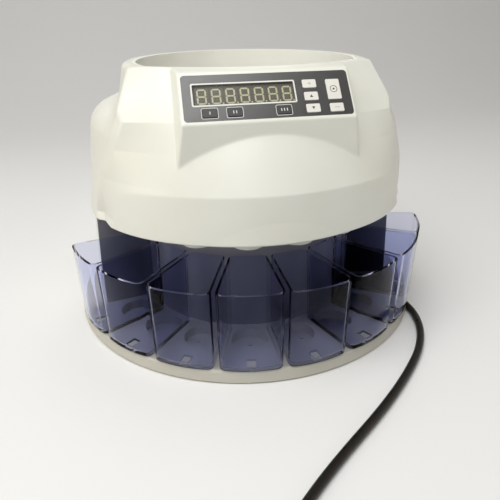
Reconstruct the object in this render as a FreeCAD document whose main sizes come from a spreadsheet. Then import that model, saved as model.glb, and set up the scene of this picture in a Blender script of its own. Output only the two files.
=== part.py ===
import FreeCAD, Part
import Sketcher
import math
import os
import re

# Coin counting and sorting machine, millimetres, +Z up.
# The casing is drawn about the vertical axis of the round base (the fan axis, X=0 Y=0), front towards -Y,
# and every piece is then moved by "shift_y" so that the origin lies under the middle of the whole object.

doc = FreeCAD.newDocument("coin_counter")
dims = doc.addObject("Spreadsheet::Sheet", "dims")

CELLS = [
    ("shift_y", 18.48),
    # base
    ("base_radius", 177.5), ("base_bottom", 1.0), ("base_top", 12.5), ("base_skirt", 2.6), ("base_roof", 2.6),
    ("rear_flat", 145.3), ("well_ring", 130.5), ("well_radius", 17.0), ("well_depth", 9.0),
    ("foot_radius", 9.0), ("foot_height", 3.0), ("foot_ring", 152.0),
    # cups
    ("cup_pitch", 19.2), ("cup_count", 8), ("cup_top", 86.0), ("cup_bottom", 12.7), ("cup_wall", 2.0), ("cup_floor", 2.2),
    ("cup_corner", 184.0), ("cup_bulge", 185.1), ("cup_low_corner", 177.6), ("cup_low_bulge", 179.2), ("cup_inner", 110.3), ("cup_gap_top", 3.4), ("cup_gap_low", 4.2),
    ("notch_inner", 163.6), ("notch_outer", 173.6), ("notch_width", 7.8), ("lug_long", 3.0), ("lug_high", 1.1), ("lug_wide", 6.4),
    # casing
    ("drum_radius", 158.3), ("drum_axis", 5.5), ("drum_bottom", 115.3), ("wall", 2.6),
    ("lip_level", 160.0), ("crease_level", 253.0), ("slope_low_radius", 160.0), ("slope_low_axis", 6.7),
    ("slope_top_radius", 235.0), ("slope_top_axis", 138.0),
    ("mouth_radius", 170.0), ("mouth_axis", 75.5),
    ("neck_radius", 122.5), ("neck_axis", -16.0), ("neck_top", 254.1), ("neck_tilt", 0.65),
    ("bowl_radius", 106.5), ("bowl_lip", 109.0), ("bowl_low_radius", 91.0), ("bowl_low", 153.5), ("bowl_wall", 2.2),
    # panel
    ("panel_top_y", -102.6), ("panel_top_z", 251.4), ("panel_low_y", -130.2), ("panel_low_z", 213.0), ("panel_half", 73.8),
    ("label_wide", 142.4), ("label_tall", 41.8), ("label_thick", 0.8),
    ("window_x", -20.0), ("window_y", 2.8), ("window_wide", 85.0), ("window_tall", 18.4), ("window_thick", 1.6),
    ("key_wide", 12.0), ("key_tall", 7.8), ("key_round", 1.0), ("key_proud", 0.9), ("key_gap", 0.3),
    ("big_key_tall", 18.9), ("key_travel", 0.5),
    ("digit_pitch", 11.95), ("digit_tall", 18.0), ("digit_deep", 4.6),
    # sorting unit
    ("deck_level", 136.0), ("deck_thick", 3.0), ("deck_radius", 148.0), ("tube_ring", 131.0), ("tube_outer", 14.0), ("tube_inner", 13.1),
    ("tube_bottom", 107.0), ("ring_thick", 3.0), ("ring_inner", 93.0),
    ("disc_radius", 88.0), ("disc_bottom", 146.2), ("disc_thick", 3.0), ("rubber_thick", 2.0),
    ("shaft_radius", 4.0), ("bearing_outer", 11.0), ("bearing_wide", 7.0), ("bearing_clear", 0.05),
    ("gear_module", 1.0), ("gear_teeth", 60), ("pinion_teeth", 15), ("gear_level", 90.0), ("gear_wide", 8.0), ("gear_centres", 37.7),
    ("motor_radius", 18.5), ("motor_long", 50.0), ("plate_level", 78.0), ("plate_thick", 2.5),
    ("core_radius", 106.0), ("core_wall", 2.5), ("core_angle", 79.6), ("post_radius", 4.0), ("post_ring", 84.0),
    # mains lead
    ("cord_radius", 3.5),
]
for i, (alias, value) in enumerate(CELLS):
    dims.set("A%d" % (i + 1), alias)
    dims.set("B%d" % (i + 1), str(value))
    dims.setAlias("B%d" % (i + 1), alias)
doc.recompute()
ALIAS = dict(CELLS)


def v(alias):
    return float(dims.get(alias))


def ex(text):
    """Expression text with every alias taken from the sheet."""
    return re.sub(r"[a-z_]+", lambda m: "dims." + m.group(0) if m.group(0) in ALIAS else m.group(0), text)


Vec = FreeCAD.Vector
SUBPARTS = []


def bind(obj, **props):
    for key, text in props.items():
        obj.setExpression(key.replace("__", "."), ex(str(text)))


def place(obj, x="0", y="0", z="0"):
    for axis, text in zip("xyz", (x, y, z)):
        if str(text) != "0":
            obj.setExpression("Placement.Base." + axis, ex(str(text)))


def cyl(name, radius, height, x="0", y="0", z="0"):
    o = doc.addObject("Part::Cylinder", name)
    bind(o, Radius=radius, Height=height)
    place(o, x, y, z)
    return o


def box(name, length, width, height, x="0", y="0", z="0"):
    """A box centred in X and Y on the given point, standing on z."""
    o = doc.addObject("Part::Box", name)
    bind(o, Length=length, Width=width, Height=height)
    place(o, "(%s)-(%s)/2" % (x, length), "(%s)-(%s)/2" % (y, width), z)
    return o


def cut(name, base, *tools):
    o = doc.addObject("Part::Cut", name)
    o.Base = base
    o.Tool = tools[0] if len(tools) == 1 else fuse(name + "_tools", *tools)
    return o


def fuse(name, *shapes):
    o = doc.addObject("Part::MultiFuse", name)
    o.Shapes = list(shapes)
    return o


def common(name, *shapes):
    o = doc.addObject("Part::MultiCommon", name)
    o.Shapes = list(shapes)
    return o


def feature(name, shape):
    o = doc.addObject("Part::Feature", name)
    o.Shape = shape
    return o


def keep(obj, label, shift=True):
    """Registers a sub-part under its label. Its placement carries the move of the whole object."""
    obj.Label = label
    SUBPARTS.append((obj, label, shift))
    return obj


def turned(shape, angle, centre=Vec(0, 0, 0)):
    s = shape.copy()
    s.rotate(centre, Vec(0, 0, 1), angle)
    return s


def angles():
    n = int(v("cup_count"))
    return [(i - (n - 1) / 2.0) * v("cup_pitch") for i in range(n)]


def polar(r, a, z=0.0):
    """Point at radius r and angle a (degrees, from the front, positive to the right)."""
    return Vec(r * math.sin(math.radians(a)), -r * math.cos(math.radians(a)), z)


def lathe(points, cy=0.0):
    """Solid of revolution about the vertical line x=0, y=cy. A point is (r, z); a triple (r, z, 'arc') is the middle of an arc."""
    edges, i = [], 0
    while i < len(points) - 1:
        a = Vec(points[i][0], cy, points[i][1])
        if len(points[i + 1]) == 3:
            m = Vec(points[i + 1][0], cy, points[i + 1][1])
            b = Vec(points[i + 2][0], cy, points[i + 2][1])
            edges.append(Part.Arc(a, m, b).toShape())
            i += 2
        else:
            b = Vec(points[i + 1][0], cy, points[i + 1][1])
            edges.append(Part.makeLine(a, b))
            i += 1
    first = Vec(points[0][0], cy, points[0][1])
    last = Vec(points[-1][0], cy, points[-1][1])
    if (first - last).Length > 1e-6:
        edges.append(Part.makeLine(last, first))
    return Part.Face(Part.Wire(edges)).revolve(Vec(0, cy, 0), Vec(0, 0, 1), 360)


def prism(points, z0, height):
    w = Part.makePolygon([Vec(x, y, z0) for x, y in points] + [Vec(points[0][0], points[0][1], z0)])
    return Part.Face(w).extrude(Vec(0, 0, height))


def plate_body(name, outer, inner, level, thick, holes=()):
    """A round plate with a centre hole and further round holes, drawn as one outline and thickened. holes is [(x, y, radius text)]."""
    body = doc.addObject("PartDesign::Body", name)
    plane = [f for f in body.Origin.OriginFeatures if f.Role == "XY_Plane"][0]
    s = body.newObject("Sketcher::SketchObject", name + "_outline")
    s.AttachmentSupport = [(plane, "")]
    s.MapMode = "FlatFace"
    s.setExpression("AttachmentOffset.Base.z", ex(level))
    rings = [(0.0, 0.0, outer)] + ([(0.0, 0.0, inner)] if inner else []) + list(holes)
    for k, (x, y, r) in enumerate(rings):
        s.addGeometry(Part.Circle(Vec(x, y, 0), Vec(0, 0, 1), 5.0 if k else 100.0), False)
        if abs(x) < 1e-9 and abs(y) < 1e-9:
            s.addConstraint(Sketcher.Constraint("Coincident", k, 3, -1, 1))
        else:
            s.addConstraint(Sketcher.Constraint("DistanceX", -1, 1, k, 3, x))
            s.addConstraint(Sketcher.Constraint("DistanceY", -1, 1, k, 3, y))
        c = s.addConstraint(Sketcher.Constraint("Radius", k, 5.0 if k else 100.0))
        s.renameConstraint(c, "ring%d" % k)
        s.setExpression("Constraints.ring%d" % k, ex(str(r)))
    pad = body.newObject("PartDesign::Pad", name + "_pad")
    pad.Profile = s
    bind(pad, Length=thick)
    body.Tip = pad
    return body


# ---------------------------------------------------------------- base
half_space = Part.makeBox(800, 400 + v("rear_flat"), 600, Vec(-400, -400, -50))

R, zb, zt = v("base_radius"), v("base_bottom"), v("base_top")
base = lathe([(0, zb), (R - 0.6, zb), (R, zb + 0.6), (R, zt - 1.6), (R - 0.47, zt - 0.47, "arc"), (R - 1.6, zt), (0, zt)])
hollow = lathe([(0, zb - 2), (R - v("base_skirt"), zb - 2), (R - v("base_skirt"), zt - v("base_roof")), (0, zt - v("base_roof"))])
rear_inner = Part.makeBox(800, 400 + v("rear_flat") - v("base_skirt"), 600, Vec(-400, -400, -50))
base = base.common(half_space)
hollow = hollow.common(rear_inner)
base = base.cut(hollow)
wells, lugs = [], []
for a in angles():
    c = polar(v("well_ring"), a)
    base = base.fuse(Part.makeCylinder(v("well_radius") + 2.2, zt - 1.4 - 2.0, Vec(c.x, c.y, 2.0)))
    wells.append(Part.makeCylinder(v("well_radius"), v("well_depth") + 5, Vec(c.x, c.y, zt - v("well_depth"))))
    lug = Part.makeBox(v("lug_wide"), v("lug_long"), v("lug_high") + 0.5, Vec(-v("lug_wide") / 2, -v("notch_outer") + 0.35, zt - 0.5))
    lugs.append(turned(lug, a))
for a in (-38.4, 38.4, -137, 137):
    c = polar(v("foot_ring"), a)
    base = base.fuse(Part.makeCylinder(v("foot_radius") + 1.0, zt - 1.0 - v("foot_height"), Vec(c.x, c.y, v("foot_height"))))
# spigots that take the screws of the frame posts
SCREW_AT = [polar(v("post_ring"), a) for a in (45, 135, 225, 315)]
for c in SCREW_AT:
    base = base.fuse(Part.makeCylinder(6.5, zt - 1.0 - 4.0, Vec(c.x, c.y, 4.0)))
for w in wells:
    base = base.cut(w)
for c in SCREW_AT:
    base = base.cut(Part.makeCylinder(2.1, 30, Vec(c.x, c.y, -5)))
for l in lugs:
    base = base.fuse(l)
# the lead leaves through an arched gap in the skirt
gap = Part.makeBox(9.6, 14, 13.4, Vec(146.0, -98.0, -4.0))
gap.rotate(Vec(150.8, -92.0, 0), Vec(0, 0, 1), 6)
base = base.cut(gap)
base = base.removeSplitter()
keep(feature("base_plate_form", base), "base_plate")

foot_shapes = []
for a in (-38.4, 38.4, -137, 137):
    c = polar(v("foot_ring"), a)
    f = lathe([(0, 0), (v("foot_radius") - 1.2, 0), (v("foot_radius"), 1.2), (v("foot_radius"), v("foot_height")), (0, v("foot_height"))])
    f.translate(c)
    foot_shapes.append(f)
keep(feature("feet_form", Part.makeCompound(foot_shapes)), "rubber_feet")


def screw(at, direction, shank, length, head, head_high):
    """A pan-head screw whose head underside lies at the point, shank along the direction."""
    s = Part.makeCylinder(shank, length, at, direction).fuse(Part.makeCylinder(head, head_high, at - direction * head_high, direction))
    slot = Part.makeBox(head * 1.3, 0.9, head_high * 0.55)
    slot.translate(Vec(-head * 0.65, -0.45, 0))
    slot.Placement = FreeCAD.Placement(at - direction * head_high, FreeCAD.Rotation(Vec(0, 0, 1), direction)).multiply(slot.Placement)
    return s.cut(slot).removeSplitter()


keep(feature("base_screw_form", Part.makeCompound([screw(Vec(c.x, c.y, 4.0), Vec(0, 0, 1), 1.9, 18.0, 3.6, 2.0) for c in SCREW_AT])), "base_screws")

# ---------------------------------------------------------------- core wall behind the cups, and rear housing
rc, tw, ca = v("core_radius"), v("core_wall"), v("core_angle")
core_top = v("deck_level")


def sector(r, a0, a1, z0, height):
    """Solid sector of a cylinder from angle a0 to a1."""
    steps = 12
    pts = [Vec(0, 0, z0)]
    p0, p1, pm = polar(r, a0, z0), polar(r, a1, z0), polar(r, (a0 + a1) / 2.0, z0)
    w = Part.Wire([Part.makeLine(pts[0], p0), Part.Arc(p0, pm, p1).toShape(), Part.makeLine(p1, pts[0])])
    return Part.Face(w).extrude(Vec(0, 0, height))


front = sector(rc, -ca, ca, zt, core_top - zt).cut(sector(rc - tw, -ca - 4, ca + 4, zt - 1, core_top - zt + 2))
core = front
for side in (-1, 1):
    for long, z_from, z_to in ((52.0, zt, v("drum_bottom") - 0.3), (47.5, zt, 126.5)):
        w = Part.makeBox(tw, long, z_to - z_from, Vec(-tw / 2.0, -(rc + long - 1.2), z_from))
        w.rotate(Vec(0, 0, 0), Vec(0, 0, 1), side * (ca - 0.7))
        core = core.fuse(w)
# feet that stand on the base, and the plate under the deck
for a in (-60, -20, 20, 60):
    tab = Part.makeBox(14, 12, 3, Vec(-7, -(rc - tw), zt))
    core = core.fuse(turned(tab, a))
core = core.removeSplitter()
keep(feature("core_form", core), "core_shroud")

dr, da, db, wl = v("drum_radius"), v("drum_axis"), v("drum_bottom"), v("wall")
seam = db - 0.05
rear = Part.makeCylinder(dr - 0.4, seam - zt, Vec(0, da, zt)).common(
    Part.makeBox(800, 400 + v("rear_flat") - 0.4, 600, Vec(-400, -400, -50)))
rear_in = Part.makeCylinder(dr - wl, seam + 20, Vec(0, da, zt - 10)).common(
    Part.makeBox(800, 400 + v("rear_flat") - wl, 600, Vec(-400, -400, -50)))
rear = rear.cut(rear_in)
fan = sector(260, -ca, ca, zt - 5, 200)
rear = rear.cut(fan)
# rounded vertical corners where the drum meets the flat back
try:
    es = [e for e in rear.Edges if e.BoundBox.ZLength > 60 and e.BoundBox.XLength < 0.01 and e.BoundBox.YLength < 0.01
          and abs(e.BoundBox.YMin - v("rear_flat") + 0.4) < 0.05]
    rear = rear.makeFillet(9.0, es)
except Exception:
    pass
# power switch cut-out, vent slots, and the inward foot flange
SW = Vec(-62.0, v("rear_flat") - 0.4, 62.0)
rear = rear.cut(Part.makeBox(19.4, 20, 13.2, Vec(SW.x - 9.7, SW.y - 15, SW.z - 6.6)))
for k in range(7):
    slot = Part.makeBox(34, 20, 2.6, Vec(18, v("rear_flat") - 12, 40 + 7.5 * k))
    rear = rear.cut(slot)
for x in (-96, 96):
    rear = rear.fuse(Part.makeBox(16, 12, 3, Vec(x - 8 if x > 0 else x - 8, v("rear_flat") - wl - 30 if abs(x) > 90 else 0, zt)).common(
        Part.makeCylinder(dr - 0.5, 10, Vec(0, da, zt))))
rear = rear.removeSplitter()
solids = rear.Solids
rear = max(solids, key=lambda s: s.Volume) if len(solids) > 1 else rear
keep(feature("rear_form", rear), "rear_cover")

# ---------------------------------------------------------------- upper cover
lz, cz = v("lip_level"), v("crease_level")
r1, a1, r2, a2 = v("slope_low_radius"), v("slope_low_axis"), v("slope_top_radius"), v("slope_top_axis")


def slope_solid(inset, r2=r2, a2=a2):
    """Everything behind the sloped front: a ruled solid between two circles, the upper one set back, and all that lies below or behind it."""
    def middle(z):
        return a1 + (a2 - a1) * (z - lz) / (cz - lz)

    def ring(z):
        return Part.Wire([Part.makeCircle(r1 + (r2 - r1) * (z - lz) / (cz - lz) - inset, Vec(0, middle(z), z))])
    z0, z1 = lz - 1.0, 300.0
    solid = Part.makeLoft([ring(z0), ring(z1)], True, True)
    w = Part.makePolygon([Vec(-240, middle(z0), z0), Vec(-240, middle(z1), z1), Vec(-240, 450, z1), Vec(-240, 450, z0), Vec(-240, middle(z0), z0)])
    solid = solid.fuse(Part.Face(w).extrude(Vec(480, 0, 0)))
    return solid.fuse(Part.makeBox(900, 900, z0 - 50.0, Vec(-450, -450, 50.0)))


def tilt(shape):
    s = shape.copy()
    s.rotate(Vec(0, v("neck_axis"), v("neck_top")), Vec(1, 0, 0), v("neck_tilt"))
    return s


def half_planes(planes, bound):
    """Solid cut from a box by planes, each (point, outward normal)."""
    s = bound
    for p, n in planes:
        cutter = Part.makeBox(900, 900, 900, Vec(-450, -450, 0))
        cutter.Placement = FreeCAD.Placement(p, FreeCAD.Rotation(Vec(0, 0, 1), n))
        s = s.cut(cutter)
    return s


ty, tz, ly, lzz, hw = v("panel_top_y"), v("panel_top_z"), v("panel_low_y"), v("panel_low_z"), v("panel_half")
pv = Vec(0, ty - ly, tz - lzz)
pv.normalize()
pn = Vec(1, 0, 0).cross(pv)                       # outward normal of the panel
P1, P2, P3 = Vec(hw, ty, tz), Vec(hw, ly, lzz), Vec(79.0, -124.5, 173.8)
side_n = (P2 - P1).cross(P3 - P2)
side_n.normalize()
if side_n.x < 0:
    side_n = side_n * -1
low_n = Vec(0, -1, 0.0)
lowv = Vec(0, -124.5 + 130.2, 173.8 - 213.0)
low_n = lowv.cross(Vec(1, 0, 0))
low_n.normalize()
if low_n.y > 0:
    low_n = low_n * -1
top_n = Vec(0, -0.19, 1.0)
top_n.normalize()


NECK_N = Vec(0, -math.sin(math.radians(v("neck_tilt"))), math.cos(math.radians(v("neck_tilt"))))


def hood(inset):
    planes = [
        (Vec(0, ty, tz) - pn * inset, pn),
        (Vec(0, ly, lzz) - low_n * inset, low_n),
        (Vec(0, ty, tz) - top_n * inset, top_n),
        (Vec(0, v("neck_axis"), v("neck_top") - inset), NECK_N),
        (P1 - side_n * inset, side_n),
        (Vec(-P1.x, P1.y, P1.z) - Vec(-side_n.x, side_n.y, side_n.z) * inset, Vec(-side_n.x, side_n.y, side_n.z)),
    ]
    return half_planes(planes, Part.makeBox(220, 90, 110, Vec(-110, -150, 150 + inset)))


def casing(inset):
    """Drum, shoulder, neck and sloped front as one solid, moved inwards by inset."""
    i = inset
    low = db - (0 if i == 0 else 8)
    if i == 0:
        drum = lathe([(0, low), (dr - 1.8, low), (dr - 0.5, low + 0.5, "arc"), (dr, low + 1.8), (dr, 200.0), (156.3, 206.6, "arc"), (150.0, 211.5),
                      (130.0, 220.6), (0, 222.5)], da)
    else:
        drum = lathe([(0, low), (dr - i, low), (dr - i, 199.4), (156.3 - i * 0.9, 205.6 - i * 0.5, "arc"), (149.4 - i * 0.5, 210.8 - i * 0.9),
                      (129.6, 219.6 - i), (0, 221.5 - i)], da)
    nr, nt, na = v("neck_radius"), v("neck_top"), v("neck_axis")
    if i == 0:
        neck = lathe([(0, 205), (134.5, 205), (134.5, 219.6), (126.0, 223.4, "arc"), (nr, 232.0), (nr - 1.2, 249.6), (nr - 2.5, 252.8, "arc"),
                      (nr - 5.6, nt), (0, nt)], na)
    else:
        neck = lathe([(0, 200), (nr - i, 200), (nr - i, 232.0), (nr - i - 1.0, nt - i), (0, nt - i)], na)
    neck = tilt(neck)
    back = Part.makeBox(900, 450 + v("rear_flat") - i, 700, Vec(-450, -450, -50))
    return drum.common(back).fuse(neck).common(slope_solid(i * 1.15))


out = casing(0.0)
out = out.removeSplitter()


def near(edge, test):
    pts = edge.discretize(9)
    return all(test(p) for p in pts)


def try_fillet(shape, radius, test, what):
    es = [e for e in shape.Edges if near(e, test)]
    if not es:
        print("fillet", what, "no edge")
        return shape
    try:
        s = shape.makeFillet(radius, es)
        if s.isValid() and abs(s.Volume - shape.Volume) < 0.02 * shape.Volume:
            print("fillet", what, "done on", len(es), "edges")
            return s
    except Exception as err:
        print("fillet", what, "not made", err)
        return shape
    print("fillet", what, "not valid")
    return shape


# soft crease at the top of the slope
print("cover outside valid", out.isValid(), round(out.Volume), len(out.Edges))
out = try_fillet(out, 2.0, lambda p: p.y < 0 and p.z > 250.5 and abs(p.z - 253.2) < 2.0 and abs(math.hypot(p.x, p.y - a2) - r2) < 4.0, "crease")
hood_out = hood(0.0)
try:
    es = [e for e in hood_out.Edges if near(e, lambda p: abs((p - Vec(0, ty, tz)).dot(pn)) < 0.01)]
    h2 = hood_out.makeFillet(2.4, es)
    if h2.isValid():
        hood_out = h2
        print("hood edges rounded")
except Exception as err:
    print("hood fillet not made", err)
out = out.fuse(hood_out)
inner = casing(wl).fuse(hood(2.4))
cover = out.cut(inner)
# opening of the bowl, same tilt as the neck
mouth = tilt(Part.makeCylinder(v("bowl_lip") + 0.15, 120, Vec(0, v("neck_axis"), 200)))
mouth = mouth.common(slope_solid(3.1, v("mouth_radius"), v("mouth_axis")))
cover = cover.cut(mouth)

# panel frame: local X to the right, Y up the panel, Z out of it
panel_at = Vec(0, (ty + ly) / 2.0, (tz + lzz) / 2.0)
panel_angle = math.degrees(math.atan2(pv.z, pv.y))
PANEL = FreeCAD.Placement(panel_at, FreeCAD.Rotation(Vec(1, 0, 0), panel_angle))


def on_panel(shape):
    s = shape.copy()
    s.Placement = PANEL.multiply(s.Placement)
    return s


def rounded(w, h, r, x, y, z0, height):
    """Rectangular block with rounded upright edges, centred on x, y."""
    b = Part.makeBox(w, h, height, Vec(x - w / 2.0, y - h / 2.0, z0))
    es = [e for e in b.Edges if e.BoundBox.ZLength > height * 0.9]
    return b.makeFillet(r, es)


lw, lh, lt = v("label_wide"), v("label_tall"), v("label_thick")
wx, wy, ww, wh = v("window_x"), v("window_y"), v("window_wide"), v("window_tall")
kw, kh, kr, kp, kg = v("key_wide"), v("key_tall"), v("key_round"), v("key_proud"), v("key_gap")
KEYS = [
    ("key_step", 36.3, 8.8, kw, kh), ("key_up", 36.3, -2.8, kw, kh), ("key_down", 36.4, -13.9, kw, kh),
    ("key_start", 56.8, 2.8, kw, v("big_key_tall")), ("key_clear", 56.9, -14.2, kw, kh),
    ("key_left", -50.2, -13.9, kw, kh), ("key_middle", -29.7, -14.0, kw, kh), ("key_right", 11.4, -14.0, kw, kh),
]
cover = cover.cut(on_panel(rounded(lw + 0.2, lh + 0.2, 3.2, 0, 0, -lt, 5)))
cover = cover.cut(on_panel(rounded(ww - 1.0, wh - 0.6, 1.0, wx, wy, -6, 10)))
for nm, kx, ky, w_, h_ in KEYS:
    cover = cover.cut(on_panel(rounded(w_ + 2 * kg, h_ + 2 * kg, kr + kg, kx, ky, -6, 10)))
# lugs on the inside of the back for the cover screws
for x in (-52, 52):
    cover = cover.cut(Part.makeCylinder(2.1, 12, Vec(x, v("rear_flat") - 8, 128), Vec(0, 1, 0)))
cover = cover.removeSplitter()
if len(cover.Solids) > 1:
    print("cover pieces", [round(s.Volume) for s in cover.Solids])
    cover = max(cover.Solids, key=lambda s: s.Volume)
keep(feature("cover_form", cover), "upper_cover")

# ---------------------------------------------------------------- hopper bowl
na, nt = v("neck_axis"), v("neck_top")


def bowl_solid(i, low, high):
    """Slanted funnel from the mouth down to the disc, moved inwards by i."""
    c1 = Part.Wire([Part.makeCircle(v("bowl_low_radius") - i, Vec(0, 0, low))])
    zm = 205.0
    c2 = Part.Wire([Part.makeCircle(v("bowl_radius") - 6.5 + v("bowl_wall") - i, Vec(0, na * 0.62, zm))])
    c3 = Part.Wire([Part.makeCircle(v("bowl_radius") + v("bowl_wall") - i, Vec(0, na, high))])
    return Part.makeLoft([c1, c2, c3], True, False)


bw, bl = v("bowl_wall"), v("bowl_low")
mr, ma = v("mouth_radius"), v("mouth_axis")
b_out = bowl_solid(0.0, bl, 262.0).common(slope_solid(3.4, mr, ma))
flange = tilt(Part.makeCylinder(v("bowl_lip"), 2.6, Vec(0, na, nt - 2.6))).common(slope_solid(3.4, mr, ma))
collar = tilt(Part.makeCylinder(116.0, 2.4, Vec(0, na, nt - wl - 2.4))).common(slope_solid(3.4, mr, ma))
b_out = b_out.fuse(flange).fuse(collar)
b_in = bowl_solid(bw, bl - 2.0, 264.0).common(slope_solid(3.4 + bw, mr, ma))
bowl = b_out.cut(b_in)
top_cut = tilt(Part.makeBox(400, 400, 60, Vec(-200, -200 + na, nt)))
bowl = bowl.cut(top_cut).removeSplitter()
if len(bowl.Solids) > 1:
    bowl = max(bowl.Solids, key=lambda s: s.Volume)
keep(feature("bowl_form", bowl), "hopper_bowl")

# ---------------------------------------------------------------- cups


def cup_wire(z, corner, bulge, inner_r, gap, inset, r):
    """Plan outline of one cup at angle zero: two straight sides parallel to the gaps, an arc outside and inside, rounded corners."""
    b = math.radians(v("cup_pitch") / 2.0)
    g = gap / 2.0 + inset

    def side(rr):
        # point on the side line at radius rr from the fan axis
        t = math.sqrt(rr * rr - g * g)
        return Vec(t * math.sin(b) - g * math.cos(b), -(t * math.cos(b) + g * math.sin(b)), z)
    po, pi = side(corner - inset), side(inner_r + inset)
    mo, mi = Vec(0, -(bulge - inset), z), Vec(0, -(inner_r + inset), z)
    lo, li = Vec(-po.x, po.y, z), Vec(-pi.x, pi.y, z)
    w = Part.Wire([Part.Arc(lo, mo, po).toShape(), Part.makeLine(po, pi), Part.Arc(pi, mi, li).toShape(), Part.makeLine(li, lo)])
    return w.makeOffset2D(-r).makeOffset2D(r)


def cup_shape():
    zt_, zb_, w_ = v("cup_top"), v("cup_bottom"), v("cup_wall")
    o = Part.makeLoft([cup_wire(zb_, v("cup_low_corner"), v("cup_low_bulge"), v("cup_inner") + 0.5, v("cup_gap_low"), 0, 6.0),
                       cup_wire(zt_, v("cup_corner"), v("cup_bulge"), v("cup_inner"), v("cup_gap_top"), 0, 6.6)], True, True)
    es = [e for e in o.Edges if e.BoundBox.ZMax < zb_ + 0.01]
    try:
        o2 = o.makeFillet(1.8, es)
        if o2.isValid():
            o = o2
    except Exception as err:
        print("cup bottom fillet not made", err)
    zf = zb_ + v("cup_floor")
    i = Part.makeLoft([cup_wire(zf, v("cup_low_corner") + 0.2, v("cup_low_bulge") + 0.2, v("cup_inner") + 0.5, v("cup_gap_low"), w_, 4.2),
                       cup_wire(zt_ + 4, v("cup_corner"), v("cup_bulge"), v("cup_inner"), v("cup_gap_top"), w_, 4.8)], True, True)
    es = [e for e in i.Edges if e.BoundBox.ZMax < zf + 0.01]
    try:
        i2 = i.makeFillet(2.6, es)
        if i2.isValid():
            i = i2
    except Exception as err:
        print("cup inside fillet not made", err)
    c = o.cut(i)
    c = c.cut(Part.makeBox(v("notch_width"), v("notch_outer") - v("notch_inner"), 12, Vec(-v("notch_width") / 2, -v("notch_outer"), zb_ - 6)))
    gate = Part.makeCylinder(2.2, 0.6, Vec(0, -142.0, zf))
    return c.fuse(gate).removeSplitter()


cup = cup_shape()
for i, a in enumerate(angles()):
    keep(feature("cup_form_%d" % (i + 1), turned(cup, a)), "coin_cup_%d" % (i + 1))

# ---------------------------------------------------------------- sorting unit
dk, dt = v("deck_level"), v("deck_thick")
tube_holes = [(polar(v("tube_ring"), a).x, polar(v("tube_ring"), a).y, "tube_outer + 0.1") for a in angles()]
deck_holes = tube_holes + [(c.x, c.y, "2.1") for c in SCREW_AT]
deck_body = plate_body("deck_body", "deck_radius", "bearing_outer + 2", "deck_level", "deck_thick", deck_holes)
deck_trim = Part.makeBox(400, 400, 60, Vec(-200, v("rear_flat") - v("wall") - 0.6, 110))
deck_trim_f = feature("deck_trim", deck_trim)
deck_cut = doc.addObject("Part::Cut", "deck_form")
deck_cut.Base = deck_body
deck_cut.Tool = deck_trim_f
keep(deck_cut, "deck_plate")

ti, to, tb = v("tube_inner"), v("tube_outer"), v("tube_bottom")
tubes = []
for a in angles():
    c = polar(v("tube_ring"), a)
    t = lathe([(ti, tb + 0.6), (ti + 0.45, tb, "arc"), (to, tb + 0.6), (to, dk - 4.2), (to + 1.6, dk - 4.2), (to + 1.6, dk - 0.05), (to, dk - 0.05),
               (to, dk + dt - 0.05), (ti, dk + dt - 0.05)])
    t.translate(c)
    tubes.append(t)
keep(feature("tube_form", Part.makeCompound(tubes)), "coin_tubes")

# graded holes, smallest first along the coins' way
GRADES = [16.75, 19.25, 20.25, 21.75, 22.75, 23.75, 24.75, 26.2]
ring_holes = [(polar(v("tube_ring"), a).x, polar(v("tube_ring"), a).y, "%.3f" % (g / 2.0)) for a, g in zip(angles(), GRADES)]
ring_body = plate_body("ring_body", "deck_radius - 2", "ring_inner", "deck_level + deck_thick", "ring_thick", ring_holes)
ring_cut = doc.addObject("Part::Cut", "ring_form")
ring_cut.Base = ring_body
ring_cut.Tool = feature("ring_trim", Part.makeBox(400, 400, 60, Vec(-200, v("rear_flat") - v("wall") - 1.2, 110)))
keep(ring_cut, "sorting_ring")

zr = dk + dt + v("ring_thick")
rail = lathe([(142.6, zr), (145.6, zr), (145.6, zr + 7.5), (142.6, zr + 7.5)])
rail = rail.common(Part.makeBox(400, 400, 100, Vec(-200, -200, 100)).cut(Part.makeBox(400, 100, 100, Vec(-200, 60, 100))))
keep(feature("rail_form", rail.removeSplitter()), "coin_rail")

# rotating group on the shaft
zd = v("disc_bottom")
disc = plate_body("disc_body", "disc_radius", "shaft_radius", "disc_bottom", "disc_thick")
keep(disc, "feed_disc")
zrub = zd + v("disc_thick")
rub = lathe([(20, zrub), (v("disc_radius") - 1.5, zrub), (v("disc_radius") - 1.5, zrub + v("rubber_thick") - 0.6), (v("disc_radius") - 2.1, zrub + v("rubber_thick")), (20, zrub + v("rubber_thick"))])
for k in range(6):
    rib = Part.makeBox(4.0, 48, 2.2, Vec(-2.0, 30, zrub + v("rubber_thick") - 0.8))
    rib = rib.makeFillet(0.9, [e for e in rib.Edges if e.BoundBox.ZMin > zrub + v("rubber_thick") + 1.0])
    rub = rub.fuse(turned(rib, 60 * k + 12))
keep(feature("rubber_form", rub.removeSplitter()), "disc_rubber")
# domed cap: a slice of a ball on a round foot, with a blind hole for the shaft's end
cap_r, cap_foot, cap_high = 19.6, 4.0, 9.0
ball_z = (cap_high ** 2 - cap_foot ** 2 - cap_r ** 2) / (2.0 * (cap_high - cap_foot))
cap = Part.makeSphere(cap_high - ball_z, Vec(0, 0, zrub + ball_z)).common(Part.makeCylinder(cap_r, cap_high + 1.0, Vec(0, 0, zrub)))
cap = cap.cut(Part.makeCylinder(v("shaft_radius"), 4.0 + 5.0, Vec(0, 0, zrub - 5.0)))
keep(feature("cap_form", cap), "disc_cap")
sw = lathe([(30, zr + 1.0), (89.0, zr + 1.0), (89.0, zd), (30, zd)])
for k in range(9):
    arm = Part.makeBox(7, 54, zd - zr - 1.0, Vec(-3.5, 86.0, zr + 1.0))
    arm = arm.makeFillet(3.0, [e for e in arm.Edges if e.BoundBox.ZLength > 1.5 and e.BoundBox.YMin > 139])
    sw = sw.fuse(turned(arm, 40 * k + 5))
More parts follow.
